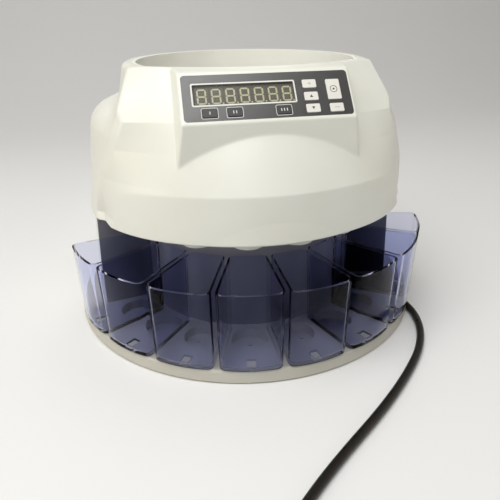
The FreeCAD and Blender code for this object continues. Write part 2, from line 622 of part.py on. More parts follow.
keep(feature("sweeper_form", sw.removeSplitter()), "coin_sweeper")
shaft = cyl("shaft_form", "shaft_radius", "disc_bottom + disc_thick + 4 - 74", z="74")
keep(shaft, "drive_shaft")


def bearing(name, level):
    ring = cyl(name + "_outer", "bearing_outer", "bearing_wide", z=level)
    bore = cyl(name + "_bore", "shaft_radius + bearing_clear", "bearing_wide + 2", z="(%s)-1" % level)
    return cut(name, ring, bore)


keep(bearing("bearing_low", "plate_level + plate_thick"), "bearing_lower")
keep(bearing("bearing_top", "deck_level - 12"), "bearing_upper")
bo = v("bearing_outer")
pl, pt = v("plate_level"), v("plate_thick")
seat = lathe([(bo, pl + pt), (bo + 3, pl + pt), (bo + 3, pl + pt + 7.4), (bo, pl + pt + 7.4)])
keep(feature("seat_form", seat), "bearing_seat")
house = lathe([(bo, dk - 12), (bo, dk + dt), (bo + 2, dk + dt), (bo + 2, dk), (bo + 12, dk), (bo + 12, dk - 3), (bo + 4, dk - 3), (bo + 4, dk - 15), (7, dk - 15), (7, dk - 12)])
keep(feature("housing_form", house), "bearing_housing")


def gear_points(module, teeth, phase, thin):
    """Outline of an involute gear as points. thin takes a little off each flank for running play."""
    rp = module * teeth / 2.0
    rb = rp * math.cos(math.radians(20))
    ra, rf = rp + module * 0.92, rp - module * 1.25
    half = math.pi / (2 * teeth) - thin / rp

    def inv(r):
        if r <= rb:
            return 0.0
        a = math.acos(rb / r)
        return math.tan(a) - a
    ip = inv(rp)
    pts = []
    for k in range(teeth):
        mid = phase + 2 * math.pi * k / teeth
        rs = [max(rb, rf)] + [max(rb, rf) + (ra - max(rb, rf)) * q for q in (0.25, 0.5, 0.75, 1.0)]
        flank = [(r, half + ip - inv(r)) for r in rs]
        left = [(rf, flank[0][1] + 0.0)] + flank if rf < rb else flank
        for r, w in left:
            pts.append((r * math.cos(mid - w), r * math.sin(mid - w)))
        for r, w in reversed(left):
            pts.append((r * math.cos(mid + w), r * math.sin(mid + w)))
    return pts


gz, gw, gc = v("gear_level"), v("gear_wide"), v("gear_centres")
gm, gt, pt_ = v("gear_module"), int(v("gear_teeth")), int(v("pinion_teeth"))
gear = prism(gear_points(gm, gt, 0.0, 0.10), gz, gw)
for k in range(5):
    c = Vec(17.5 * math.cos(2 * math.pi * k / 5), 17.5 * math.sin(2 * math.pi * k / 5), gz - 1)
    gear = gear.cut(Part.makeCylinder(6.0, gw + 2, c))
gear = gear.cut(Part.makeCylinder(v("shaft_radius"), gw + 2, Vec(0, 0, gz - 1)))
keep(feature("gear_form", gear), "drive_gear")
pin = prism(gear_points(gm, pt_, math.pi + math.pi / pt_, 0.10), gz - 1, gw + 2)
pin = pin.fuse(Part.makeCylinder(5.4, 4, Vec(0, 0, gz - 5)))
pin = pin.cut(Part.makeCylinder(3.0, gw + 20, Vec(0, 0, gz - 8)))
pin.translate(Vec(gc, 0, 0))
keep(feature("pinion_form", pin.removeSplitter()), "motor_pinion")
mshaft = cyl("motor_shaft_form", "3", "gear_level + gear_wide + 1 - plate_level + 8", x="gear_centres", z="plate_level - 8")
keep(mshaft, "motor_shaft")
mr, ml = v("motor_radius"), v("motor_long")
mot = lathe([(0, pl - ml), (6.0, pl - ml), (6.0, pl - ml + 2.5), (mr - 1.5, pl - ml + 2.5), (mr, pl - ml + 4.0), (mr, pl), (6.0, pl), (6.0, pl + pt), (3.05, pl + pt), (3.05, pl - 8.2), (0, pl - 8.2)])
for s_ in (-1, 1):
    tab = Part.makeBox(0.8, 5, 9, Vec(s_ * 9 - 0.4, -2.5, pl - ml - 6.0))
    mot = mot.fuse(tab)
mot.translate(Vec(gc, 0, 0))
keep(feature("motor_form", mot.removeSplitter()), "drive_motor")
mp_holes = [(c.x, c.y, "post_radius + 0.0") for c in SCREW_AT] + [(gc, 0.0, "6.0")]
mplate = plate_body("motor_plate_body", "post_ring + 9", "6", "plate_level", "plate_thick", mp_holes)
keep(mplate, "motor_plate")
posts = []
for c in SCREW_AT:
    p = Part.makeCylinder(v("post_radius"), dk - zt, Vec(c.x, c.y, zt)).cut(Part.makeCylinder(1.9, 10.0, Vec(c.x, c.y, zt))).cut(
        Part.makeCylinder(1.9, 12, Vec(c.x, c.y, dk - 12)))
    posts.append(p)
keep(feature("post_form", Part.makeCompound(posts)), "frame_posts")
keep(feature("deck_screw_form", Part.makeCompound([screw(Vec(c.x, c.y, dk + dt), Vec(0, 0, -1), 1.9, 13.0, 3.6, 2.0) for c in SCREW_AT])), "deck_screws")

# coin sensor ring under the deck
sens_holes = [(polar(v("tube_ring"), a).x, polar(v("tube_ring"), a).y, "tube_outer + 0.3") for a in angles()]
sens = plate_body("sensor_body", "deck_radius - 1.5", "110", "deck_level - 8.4", "1.6", sens_holes)
sens_cut = doc.addObject("Part::Cut", "sensor_form")
sens_cut.Base = sens
sens_cut.Tool = feature("sensor_trim", Part.makeCylinder(200, 60, Vec(0, 0, 100)).cut(sector(220, -76.4, 76.4, 90, 80)))
keep(sens_cut, "sensor_board")

# ---------------------------------------------------------------- electronics
mb = box("main_board_plate", "150", "1.6", "74", "0", "112", "34")
parts_mb = [mb]
for k, (x, z_, w_, d_, h_) in enumerate([(-45, 52, 30, 3.0, 30), (0, 60, 18, 2.6, 18), (40, 48, 22, 9.0, 12), (40, 80, 12, 11, 12), (-10, 90, 40, 6, 6), (60, 66, 10, 14, 10)]):
    parts_mb.append(box("chip_%d" % k, str(w_), str(d_), str(h_), str(x), "112 + 0.8 + %s/2" % d_, str(z_)))
keep(fuse("main_board_form", *parts_mb), "main_board")
ps = box("psu_board", "92", "54", "1.6", "-6", "66", "20")
tr = box("psu_core", "46", "38", "34", "-22", "66", "21.6")
wnd = box("psu_coil", "36", "46", "24", "-22", "66", "26.6")
capa = cyl("psu_capacitor", "8", "26", "20", "74", "21.6")
reg = box("psu_regulator", "14", "6", "20", "28", "50", "21.6")
keep(fuse("psu_form", ps, tr, wnd, capa, reg), "power_supply")
so = []
for x, y in ((-48, 43), (36, 43), (-48, 89), (36, 89)):
    so.append(Part.makeCylinder(2.6, 20.0 - zt, Vec(x, y, zt)))
for x in (-62, 62):
    so.append(Part.makeBox(10, 8, 34.0 - zt, Vec(x - 5, 108.0, zt)))
keep(feature("standoff_form", Part.makeCompound(so)), "standoffs")

# ---------------------------------------------------------------- panel pieces, in the panel frame
lab = rounded(lw, lh, 3.1, 0, 0, -lt, lt)
lab = lab.cut(rounded(ww, wh, 1.2, wx, wy, -5, 10))
for nm, kx, ky, w_, h_ in KEYS:
    lab = lab.cut(rounded(w_ + 2 * kg, h_ + 2 * kg, kr + kg, kx, ky, -5, 10))


def keep_panel(name, shape, label):
    o = feature(name, shape)
    o.Placement = PANEL
    return keep(o, label)


keep_panel("label_form", lab, "panel_overlay")
win = rounded(ww - 0.1, wh - 0.1, 1.1, wx, wy, -lt, lt - 0.15).fuse(rounded(ww - 1.2, wh - 0.8, 0.9, wx, wy, -v("window_thick"), v("window_thick") - lt))
keep_panel("window_form", win.removeSplitter(), "display_window")
zm = -2.6 - v("digit_deep")
digs = []
dx0 = -54.6
for k in range(7):
    d = Part.makeBox(v("digit_pitch") - 0.25, v("digit_tall") - 1.6, v("digit_deep"), Vec(dx0 + v("digit_pitch") * k - v("digit_pitch") / 2 + 0.12, wy - v("digit_tall") / 2 + 0.8, zm))
    digs.append(d)
keep_panel("digit_form", Part.makeCompound(digs), "digit_modules")
dbd = rounded(134, 38, 1.0, 0, -0.6, zm - 1.2, 1.2)
for x in (-64.5, 64.5):
    dbd = dbd.cut(Part.makeCylinder(1.2, 10, Vec(x, -16.5, zm - 5)))
# a small push switch under every key
for nm, kx, ky, w_, h_ in KEYS:
    dbd = dbd.fuse(Part.makeBox(6, 6, -4.6 - zm, Vec(kx - 3, ky - 3, zm)))
keep_panel("display_board_form", dbd.removeSplitter(), "display_board")
for nm, kx, ky, w_, h_ in KEYS:
    k = rounded(w_, h_, kr, kx, ky, -3.0, 3.0 + kp)
    k = k.makeFillet(0.45, [e for e in k.Edges if e.BoundBox.ZMin > kp - 0.01])
    k = k.fuse(rounded(w_ + 1.8, h_ + 1.6, kr, kx, ky, -4.0, 1.0))
    keep_panel(nm + "_form", k.removeSplitter(), nm)

# ---------------------------------------------------------------- power switch on the back
swb = Part.makeBox(22, 1.6, 15.8, Vec(SW.x - 11, SW.y, SW.z - 7.9)).fuse(Part.makeBox(19.2, 13.0, 13.0, Vec(SW.x - 9.6, SW.y - 13.0, SW.z - 6.5)))
swb = swb.cut(Part.makeBox(16.6, 9.6, 10.4, Vec(SW.x - 8.3, SW.y - 7.0, SW.z - 5.2)))
keep(feature("switch_form", swb.removeSplitter()), "switch_body")
# rocker: a shallow V across its pivot, resting with one half pressed in
rk = []
prof = [(-4.7, 1.9), (0.0, 0.5), (4.7, 1.9), (4.5, -2.0), (0.0, -3.6), (-4.5, -2.0)]   # (z, y) about the pivot
w = Part.makePolygon([Vec(-8.0, y, z) for z, y in prof] + [Vec(-8.0, prof[0][1], prof[0][0])])
rocker = Part.Face(w).extrude(Vec(16.0, 0, 0))
rocker.rotate(Vec(0, 0, 0), Vec(1, 0, 0), 8)
rocker.translate(Vec(SW.x, SW.y - 1.2, SW.z))
keep(feature("rocker_form", rocker), "power_rocker")

# cover screws through the back into two angle brackets on the deck
cs, br = [], []
for x in (-52, 52):
    cs.append(screw(Vec(x, v("rear_flat"), 128), Vec(0, -1, 0), 1.9, 9.0, 3.6, 2.0))
    b = Part.makeBox(14, 3, 16, Vec(x - 7, v("rear_flat") - wl - 3.0, 120)).fuse(Part.makeBox(14, 22, 2.5, Vec(x - 7, v("rear_flat") - wl - 22.0, dk - 2.5)))
    b = b.cut(Part.makeCylinder(1.9, 30, Vec(x, v("rear_flat") - 20, 128), Vec(0, 1, 0)))
    br.append(b.removeSplitter())
keep(feature("cover_screw_form", Part.makeCompound(cs)), "cover_screws")
keep(feature("bracket_form", Part.makeCompound(br)), "cover_brackets")

# ---------------------------------------------------------------- mains lead
# route in the fan frame: out from under the right side of the base, forward past the machine, then to the coil in front
cr = v("cord_radius")
ROUTE = [
    (150.2, -86.0, 4.4), (151.9, -97.5, 3.9), (151.2, -113.0, 3.5), (143.6, -138.5, 3.5), (127.0, -166.0, 3.5), (104.5, -191.0, 3.5),
    (79.0, -215.5, 3.5), (50.5, -239.5, 3.5), (20.0, -263.0, 3.5), (-10.0, -288.0, 3.5), (-36.0, -313.0, 3.5),
    (-57.0, -337.2, 3.5),
]


def rounded_path(points):
    """Straight runs joined by tangent arcs as large as the runs allow: radius 0.45 of the shorter run over the tangent of half the turn."""
    pts = [Vec(*p) for p in points]
    edges, radii = [], []
    start = pts[0]
    for i in range(1, len(pts) - 1):
        a, b, c = pts[i - 1], pts[i], pts[i + 1]
        u, w = (a - b), (c - b)
        l1, l2 = u.Length, w.Length
        u.normalize()
        w.normalize()
        turn = math.pi - u.getAngle(w)
        d = 0.45 * min(l1, l2)
        radius = d / math.tan(turn / 2.0)
        p, q = b + u * d, b + w * d
        bis = u + w
        bis.normalize()
        centre = b + bis * (radius / math.cos(turn / 2.0))
        mid = centre - bis * radius
        if (p - start).Length > 1e-6:
            edges.append(Part.LineSegment(start, p).toShape())
        edges.append(Part.Arc(p, mid, q).toShape())
        radii.append(round(radius, 1))
        start = q
    edges.append(Part.LineSegment(start, pts[-1]).toShape())
    return Part.Wire(edges), radii


path, radii = rounded_path(ROUTE)
print("cord radii", radii, "length", round(path.Length, 1))
first = Vec(*ROUTE[1]) - Vec(*ROUTE[0])
first.normalize()
circle = Part.Wire([Part.makeCircle(cr, Vec(*ROUTE[0]), first)])
cord = path.makePipeShell([circle], True, False)
print("cord volume", round(cord.Volume, 1), "section x length", round(math.pi * cr * cr * path.Length, 1))
keep(feature("cord_form", cord), "mains_cord")

# tapered relief inside the base, held by a clip under the roof
back = Vec(*ROUTE[0]) - first * 26.0
relief = Part.makeCone(4.3, 3.9, 26.0, back, first)
relief = relief.fuse(Part.makeBox(15, 5, zt - v("base_roof") - 0.7, Vec(back.x - 7.5, back.y - 1.0, 0.7)))
keep(feature("relief_form", relief.removeSplitter()), "strain_relief")

# put-away length: a round coil of two layers just in front of the view, and the plug beside it
coil_start, coil_end, coil_r = 139.0, 288.0, 49.7          # where the lead joins and leaves the ring, degrees from +X, and its outer turn
e0 = Vec(*ROUTE[-1])
coil_at = Vec(e0.x - coil_r * math.cos(math.radians(coil_start)), e0.y - coil_r * math.sin(math.radians(coil_start)), 0)
coil = lathe([(30.0, 0.0), (51.0, 0.0), (53.3, 7.1, "arc"), (51.0, 14.2), (30.0, 14.2), (27.6, 7.1, "arc"), (30.0, 0.0)])
coil.translate(coil_at)
print("coil centre", [round(c, 2) for c in coil_at])
keep(feature("coil_form", coil), "cord_coil")
plug = Part.makeBox(27, 36, 17, Vec(-13.5, 44, 0))
plug = plug.makeFillet(4.0, [e for e in plug.Edges if e.BoundBox.YLength > 30])
plug = plug.fuse(Part.makeCone(3.9, 6.4, 26.0, Vec(0, 20, 8.5), Vec(0, 1, 0)))
for x in (-9.5, 9.5):
    plug = plug.fuse(Part.makeCylinder(2.4, 20, Vec(x, 79, 8.5), Vec(0, 1, 0)))
plug.rotate(Vec(0, 0, 0), Vec(0, 0, 1), coil_end)
plug.translate(coil_at + Vec(coil_r * math.cos(math.radians(coil_end)), coil_r * math.sin(math.radians(coil_end)), 0))
keep(feature("plug_form", plug.removeSplitter()), "mains_plug")

# ---------------------------------------------------------------- checks and files
shift = Vec(0, v("shift_y"), 0)
for obj, label, moved in SUBPARTS:
    if obj.TypeId == "Part::Feature":
        pl_ = obj.Placement
        obj.Placement = FreeCAD.Placement(pl_.Base + shift, pl_.Rotation)
    elif obj.TypeId in ("PartDesign::Body", "Part::Cut", "Part::MultiFuse", "Part::MultiCommon"):
        obj.setExpression("Placement.Base.y", ex("shift_y"))
    else:
        obj.setExpression("Placement.Base.y", ex("shift_y"))
doc.recompute()

bad = [o.Name for o in doc.Objects if "Invalid" in o.State or "Error" in o.State]
if bad:
    raise SystemExit("failed objects: %s" % bad)
names = set()
for obj, label, moved in SUBPARTS:
    s = obj.Shape
    if s.isNull() or not s.isValid():
        raise SystemExit("%s has no valid shape" % label)
    if not s.Solids:
        raise SystemExit("%s has no solid" % label)
    if label in names or obj.Label != label:
        raise SystemExit("label %s is not unique" % label)
    names.add(label)

os.makedirs("parts", exist_ok=True)
for f in os.listdir("parts"):
    if f.endswith(".step"):
        os.remove(os.path.join("parts", f))
lo, hi = Vec(1e9, 1e9, 1e9), Vec(-1e9, -1e9, -1e9)
CORD = ("mains_cord", "cord_coil", "mains_plug", "strain_relief")
for obj, label, moved in SUBPARTS:
    obj.Shape.exportStep("parts/%s.step" % label)
    if label not in CORD:
        b = obj.Shape.optimalBoundingBox(True, False) if hasattr(obj.Shape, "optimalBoundingBox") else obj.Shape.BoundBox
        lo = Vec(min(lo.x, b.XMin), min(lo.y, b.YMin), min(lo.z, b.ZMin))
        hi = Vec(max(hi.x, b.XMax), max(hi.y, b.YMax), max(hi.z, b.ZMax))
print("nodes", len(SUBPARTS), "box", [round(c, 2) for c in (lo.x, lo.y, lo.z, hi.x, hi.y, hi.z)], "middle y", round((lo.y + hi.y) / 2, 3))
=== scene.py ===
import math

import bpy
import bmesh
import numpy as np
from mathutils import Matrix, Vector


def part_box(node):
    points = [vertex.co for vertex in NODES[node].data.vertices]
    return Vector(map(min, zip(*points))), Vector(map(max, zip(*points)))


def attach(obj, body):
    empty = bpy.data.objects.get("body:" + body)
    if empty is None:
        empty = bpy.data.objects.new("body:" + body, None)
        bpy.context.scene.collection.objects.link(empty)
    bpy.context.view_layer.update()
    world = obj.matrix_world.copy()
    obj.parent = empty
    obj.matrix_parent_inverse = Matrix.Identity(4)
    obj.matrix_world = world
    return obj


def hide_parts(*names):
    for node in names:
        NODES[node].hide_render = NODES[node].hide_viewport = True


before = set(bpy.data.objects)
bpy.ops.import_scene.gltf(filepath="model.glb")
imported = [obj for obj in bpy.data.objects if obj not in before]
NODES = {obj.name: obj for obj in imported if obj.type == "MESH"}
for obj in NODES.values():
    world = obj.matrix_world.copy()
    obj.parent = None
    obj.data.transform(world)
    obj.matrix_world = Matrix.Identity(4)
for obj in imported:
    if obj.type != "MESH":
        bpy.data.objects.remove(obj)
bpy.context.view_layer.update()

MM = 0.001
ends = [list(map(float, c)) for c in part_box("drive_shaft")]
SHIFT = round((ends[0][1] + ends[1][1]) / 2.0 / MM, 2)     # the fan axis lies this far behind the origin, mm
scene = bpy.context.scene


def at(x, y, z):
    """A point of the fan frame in millimetres, as a point of the row frame in metres."""
    return Vector((x * MM, (y + SHIFT) * MM, z * MM))


# ---------------------------------------------------------------- camera
YAW, PITCH, ROLL, PHI = math.radians(-0.9266), 0.290729142, -0.0152099, math.radians(10.664)
cy_, sy_, cp_, sp_ = math.cos(YAW), math.sin(YAW), math.cos(PITCH), math.sin(PITCH)
look = Vector((-sy_ * cp_, cy_ * cp_, -sp_))
right = Vector((cy_, sy_, 0.0))
up = right.cross(look)
cr_, sr_ = math.cos(ROLL), math.sin(ROLL)
right, up = cr_ * right + sr_ * up, -sr_ * right + cr_ * up
turn = Matrix.Rotation(-PHI, 3, "Z")
look, right, up = turn @ look, turn @ right, turn @ up
cam_data = bpy.data.cameras.new("camera")
cam_data.sensor_width = 36.0
cam_data.lens = 39.325
cam_data.shift_x, cam_data.shift_y = -0.0047, -0.155
cam_data.clip_start, cam_data.clip_end = 0.01, 50.0
cam = bpy.data.objects.new("camera", cam_data)
m = Matrix((right, up, -look)).transposed().to_4x4()
m.translation = at(-104.388, -554.352, 300.436)
cam.matrix_world = m
scene.collection.objects.link(cam)
scene.camera = cam

# ---------------------------------------------------------------- materials


class Mat:
    """A node material around one Principled shader."""

    def __init__(self, name, color, rough, **sockets):
        self.m = bpy.data.materials.new(name)
        self.m.use_nodes = True
        self.t = self.m.node_tree
        self.b = self.t.nodes["Principled BSDF"]
        self.color = tuple(color) + (1.0,)
        self.b.inputs["Base Color"].default_value = self.color
        self.b.inputs["Roughness"].default_value = rough
        self.rough = rough
        for k, val in sockets.items():
            self.b.inputs[k.replace("_", " ")].default_value = val
        self.coords = self.t.nodes.new("ShaderNodeTexCoord")
        self.bumps = None

    def noise(self, scale, detail=3.0, stretch=(1, 1, 1), rough=0.5):
        mp = self.t.nodes.new("ShaderNodeMapping")
        mp.inputs["Scale"].default_value = stretch
        self.t.links.new(self.coords.outputs["Object"], mp.inputs["Vector"])
        n = self.t.nodes.new("ShaderNodeTexNoise")
        n.inputs["Scale"].default_value = scale
        n.inputs["Detail"].default_value = detail
        n.inputs["Roughness"].default_value = rough
        self.t.links.new(mp.outputs["Vector"], n.inputs["Vector"])
        return n.outputs["Fac"]

    def ramp(self, fac, lo, hi, low, high):
        r = self.t.nodes.new("ShaderNodeMapRange")
        r.inputs["From Min"].default_value = lo
        r.inputs["From Max"].default_value = hi
        r.inputs["To Min"].default_value = low
        r.inputs["To Max"].default_value = high
        self.t.links.new(fac, r.inputs["Value"])
        return r.outputs["Result"]

    def mix(self, fac, a, b):
        x = self.t.nodes.new("ShaderNodeMix")
        x.data_type = "RGBA"
        self.t.links.new(fac, x.inputs["Factor"])
        for key, val in (("A", a), ("B", b)):
            sock = [s for s in x.inputs if s.name == key and s.type == "RGBA"][0]
            if isinstance(val, tuple):
                sock.default_value = val
            else:
                self.t.links.new(val, sock)
        return [s for s in x.outputs if s.type == "RGBA"][0]

    def vary(self, scale=14.0, amount=0.03, tint=(1.0, 0.985, 0.95), detail=4.0):
        """Slow change of colour over the surface: a little darker and warmer in places."""
        f = self.ramp(self.noise(scale, detail), 0.35, 0.68, 0.0, 1.0)
        dark = tuple(self.color[i] * (1.0 - amount) * tint[i] for i in range(3)) + (1.0,)
        self.base = self.mix(f, self.color, dark)
        self.t.links.new(self.base, self.b.inputs["Base Color"])
        return self

    def shine(self, scale=40.0, spread=0.06, detail=4.0, stretch=(1, 1, 1)):
        """Roughness that changes a little, as on handled plastic."""
        r = self.ramp(self.noise(scale, detail, stretch), 0.3, 0.7, max(0.02, self.rough - spread), min(1.0, self.rough + spread))
        self.t.links.new(r, self.b.inputs["Roughness"])
        return self

    def bump(self, scale, strength, distance, detail=2.0, stretch=(1, 1, 1)):
        bp = self.t.nodes.new("ShaderNodeBump")
        bp.inputs["Strength"].default_value = strength
        bp.inputs["Distance"].default_value = distance
        self.t.links.new(self.noise(scale, detail, stretch), bp.inputs["Height"])
        if self.bumps is not None:
            self.t.links.new(self.bumps, bp.inputs["Normal"])
        self.bumps = bp.outputs["Normal"]
        self.t.links.new(self.bumps, self.b.inputs["Normal"])
        return self


def plastic(name, color, rough, grain=1400.0, strength=0.12, vary=0.03, **sockets):
    return Mat(name, color, rough, **sockets).vary(amount=vary).shine().bump(grain, strength, 0.0001).m


COVER = plastic("cover_abs", (0.80, 0.812, 0.745), 0.34, 1100.0, 0.10, 0.035, Coat_Weight=0.15, Coat_Roughness=0.22)
BASE = plastic("base_abs", (0.58, 0.565, 0.50), 0.42, 900.0, 0.16, 0.05)
# The bowl is the cover's white plastic, painted lighter than the cover: painted light for the light that falls into the
# bowl.
BOWL_PAINTED_LIGHT = plastic("bowl_abs_painted_light", (0.90, 0.905, 0.84), 0.40, 700.0, 0.15, 0.06)
# The core shroud is painted mid-grey, darker than its pale plastic: painted shade for the shadow under the band.
CORE_PAINTED_SHADE = plastic("core_painted_shade", (0.27, 0.27, 0.285), 0.38, 900.0, 0.12, 0.10)
BLACK = plastic("black_moulded", (0.018, 0.018, 0.019), 0.42, 1200.0, 0.25, 0.2)
RUBBER = plastic("black_rubber", (0.020, 0.020, 0.020), 0.72, 600.0, 0.5, 0.3)
NYLON = plastic("white_nylon", (0.72, 0.72, 0.68), 0.45, 800.0, 0.15, 0.04)
KEY_LIGHT = plastic("key_light", (0.78, 0.77, 0.73), 0.42, 1500.0, 0.20, 0.04)
KEY_DARK = plastic("key_dark", (0.040, 0.040, 0.043), 0.44, 1500.0, 0.20, 0.10)
LABEL = Mat("label_film", (0.028, 0.027, 0.027), 0.34, Specular_IOR_Level=0.8, Coat_Weight=0.5, Coat_Roughness=0.26).vary(60.0, 0.12, (1, 1, 1)).shine(160.0, 0.05).bump(2600.0, 0.25, 0.00006).m
PRINT = Mat("print_light", (0.80, 0.80, 0.77), 0.5).vary(300.0, 0.08).bump(3000.0, 0.2, 0.00003).m
PRINT_GREY = Mat("print_grey", (0.46, 0.46, 0.45), 0.5).vary(300.0, 0.08).bump(3000.0, 0.2, 0.00003).m
INK = Mat("print_dark", (0.030, 0.030, 0.032), 0.5).vary(300.0, 0.1).bump(3000.0, 0.2, 0.00003).m
DIGIT = Mat("digit_face", (0.125, 0.112, 0.098), 0.55).vary(40.0, 0.04).bump(1500.0, 0.2, 0.00005).m
SEGMENT = Mat("segment_off", (0.80, 0.83, 0.50), 0.35).vary(60.0, 0.03).bump(1800.0, 0.1, 0.00004).m
WINDOW = Mat("window_film", (0.20, 0.185, 0.165), 0.16, Alpha=0.16, Specular_IOR_Level=0.5).vary(40.0, 0.05).shine(90.0, 0.05).m
STEEL = Mat("ground_steel", (0.56, 0.56, 0.57), 0.28, Metallic=1.0).vary(80.0, 0.12, (1, 1, 1)).shine(300.0, 0.08, stretch=(1, 1, 12)).bump(900.0, 0.15, 0.00005, stretch=(1, 1, 10)).m
ALLOY = Mat("brushed_alloy", (0.66, 0.66, 0.67), 0.34, Metallic=1.0).vary(50.0, 0.10, (1, 1, 1)).shine(260.0, 0.09, stretch=(14, 1, 1)).bump(700.0, 0.2, 0.00005, stretch=(14, 1, 1)).m
BRASS = Mat("nickel_pins", (0.70, 0.66, 0.56), 0.22, Metallic=1.0).vary(90.0, 0.12).shine(300.0, 0.06).m
CAN = Mat("zinc_can", (0.40, 0.40, 0.41), 0.42, Metallic=0.8).vary(40.0, 0.2, (1, 1, 1)).shine(120.0, 0.1).bump(500.0, 0.15, 0.00008).m
MASK = Mat("solder_mask", (0.010, 0.075, 0.030), 0.35).vary(60.0, 0.25, (1, 1, 1)).bump(1400.0, 0.3, 0.00008).m
LAMINATE = Mat("bare_laminate", (0.42, 0.30, 0.12), 0.5).vary(80.0, 0.2).bump(1800.0, 0.3, 0.00006).m
JACKET = Mat("lead_jacket", (0.012, 0.009, 0.007), 0.34, Specular_IOR_Level=0.35).vary(60.0, 0.3, (1, 1, 1)).shine(120.0, 0.08).bump(700.0, 0.2, 0.00008).m
SMOKE = Mat("smoke_acrylic", (0.785, 0.805, 0.955), 0.03, Transmission_Weight=1.0, IOR=1.14, Specular_IOR_Level=0.10)
SMOKE.vary(9.0, 0.04, (1, 1, 1))
SMOKE = SMOKE.m

LOOKS = {
    "base_plate": BASE, "rubber_feet": RUBBER, "base_screws": STEEL, "core_shroud": CORE_PAINTED_SHADE, "rear_cover": COVER, "upper_cover": COVER,
    "hopper_bowl": BOWL_PAINTED_LIGHT, "deck_plate": ALLOY, "coin_tubes": COVER, "sorting_ring": ALLOY, "coin_rail": STEEL, "feed_disc": ALLOY,
    "disc_rubber": RUBBER, "disc_cap": BLACK, "coin_sweeper": NYLON, "drive_shaft": STEEL, "bearing_lower": STEEL, "bearing_upper": STEEL,
    "bearing_seat": NYLON, "bearing_housing": ALLOY, "drive_gear": NYLON, "motor_pinion": STEEL, "motor_shaft": STEEL, "drive_motor": CAN,
    "motor_plate": ALLOY, "frame_posts": STEEL, "deck_screws": STEEL, "sensor_board": MASK, "main_board": MASK, "power_supply": LAMINATE,
    "standoffs": NYLON, "panel_overlay": LABEL, "display_window": WINDOW, "digit_modules": DIGIT, "display_board": MASK,
    "switch_body": BLACK, "power_rocker": BLACK, "cover_screws": STEEL, "cover_brackets": STEEL, "strain_relief": RUBBER, "mains_plug": BLACK,
    "mains_cord": JACKET, "cord_coil": JACKET,
    "key_step": KEY_LIGHT, "key_up": KEY_LIGHT, "key_down": KEY_LIGHT, "key_start": KEY_LIGHT, "key_clear": KEY_LIGHT,
    "key_left": KEY_DARK, "key_middle": KEY_DARK, "key_right": KEY_DARK,
}
for i in range(1, 9):
    LOOKS["coin_cup_%d" % i] = SMOKE
for name, obj in NODES.items():
    obj.data.materials.clear()
    obj.data.materials.append(LOOKS[name])


def add_mesh(name, verts, faces, material, body, smooth=False):
    me = bpy.data.meshes.new(name)
    me.from_pydata([tuple(p) for p in verts], [], faces)
    me.validate()
    me.update()
    o = bpy.data.objects.new(name, me)
    scene.collection.objects.link(o)
    me.materials.append(material)
    if smooth:
        for p in me.polygons:
            p.use_smooth = True
    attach(o, body)
    return o


# ---------------------------------------------------------------- panel graphics
TY, TZ, LY, LZ = -102.6, 251.4, -130.2, 213.0
P_ANGLE = math.atan2(TZ - LZ, TY - LY)
P_ROT = Matrix.Rotation(P_ANGLE, 3, "X")
P_AT = Vector((0, (TY + LY) / 2.0, (TZ + LZ) / 2.0))


def on_panel(x, y, z):
    p = P_ROT @ Vector((x, y, z)) + P_AT
    return at(p.x, p.y, p.z)


def round_rect(w, h, r, x=0.0, y=0.0, n=6):
    pts = []
    for cx, cy, a0 in ((w / 2 - r, h / 2 - r, 0), (-w / 2 + r, h / 2 - r, 90), (-w / 2 + r, -h / 2 + r, 180), (w / 2 - r, -h / 2 + r, 270)):
        for k in range(n + 1):
            a = math.radians(a0 + 90.0 * k / n)
            pts.append((x + cx + r * math.cos(a), y + cy + r * math.sin(a)))
    return pts


def slab(outline, z0, z1, verts, faces):
    """A flat closed block over an outline of the panel plane, from z0 to z1."""
    n, b = len(outline), len(verts)
    verts += [on_panel(px, py, z0) for px, py in outline] + [on_panel(px, py, z1) for px, py in outline]
    faces.append(list(range(b + n - 1, b - 1, -1)))
    faces.append(list(range(b + n, b + 2 * n)))
    faces += [[b + k, b + (k + 1) % n, b + n + (k + 1) % n, b + n + k] for k in range(n)]


def band(outer, inner, z0, z1, verts, faces):
    """A closed flat ring between two outlines with the same number of points."""
    n, b = len(outer), len(verts)
    verts += [on_panel(px, py, z) for z in (z0, z1) for line in (outer, inner) for px, py in line]
    o0, i0, o1, i1 = b, b + n, b + 2 * n, b + 3 * n
    for k in range(n):
        j = (k + 1) % n
        faces.append([o1 + k, o1 + j, i1 + j, i1 + k])
        faces.append([o0 + j, o0 + k, i0 + k, i0 + j])
        faces.append([o0 + k, o0 + j, o1 + j, o1 + k])
        faces.append([i0 + j, i0 + k, i1 + k, i1 + j])


KEYS = {
    "key_step": (36.3, 8.8, 12.0, 7.8), "key_up": (36.3, -2.8, 12.0, 7.8), "key_down": (36.4, -13.9, 12.0, 7.8),
    "key_start": (56.8, 2.8, 12.0, 18.9), "key_clear": (56.9, -14.2, 12.0, 7.8),
    "key_left": (-50.2, -13.9, 12.0, 7.8), "key_middle": (-29.7, -14.0, 12.0, 7.8), "key_right": (11.4, -14.0, 12.0, 7.8),
}
KEY_TOP = 0.9

vs, fs = [], []
band(round_rect(87.6, 21.0, 1.6, -20.0, 2.8), round_rect(85.0, 18.4, 0.7, -20.0, 2.8), 0.0, 0.09, vs, fs)
for nm in ("key_left", "key_middle", "key_right"):
    x, y, w, h = KEYS[nm]
    band(round_rect(w + 1.9, h + 1.9, 1.6, x, y), round_rect(w + 1.0, h + 1.0, 1.2, x, y), 0.0, 0.08, vs, fs)
add_mesh("panel_print", vs, fs, PRINT, "casing")


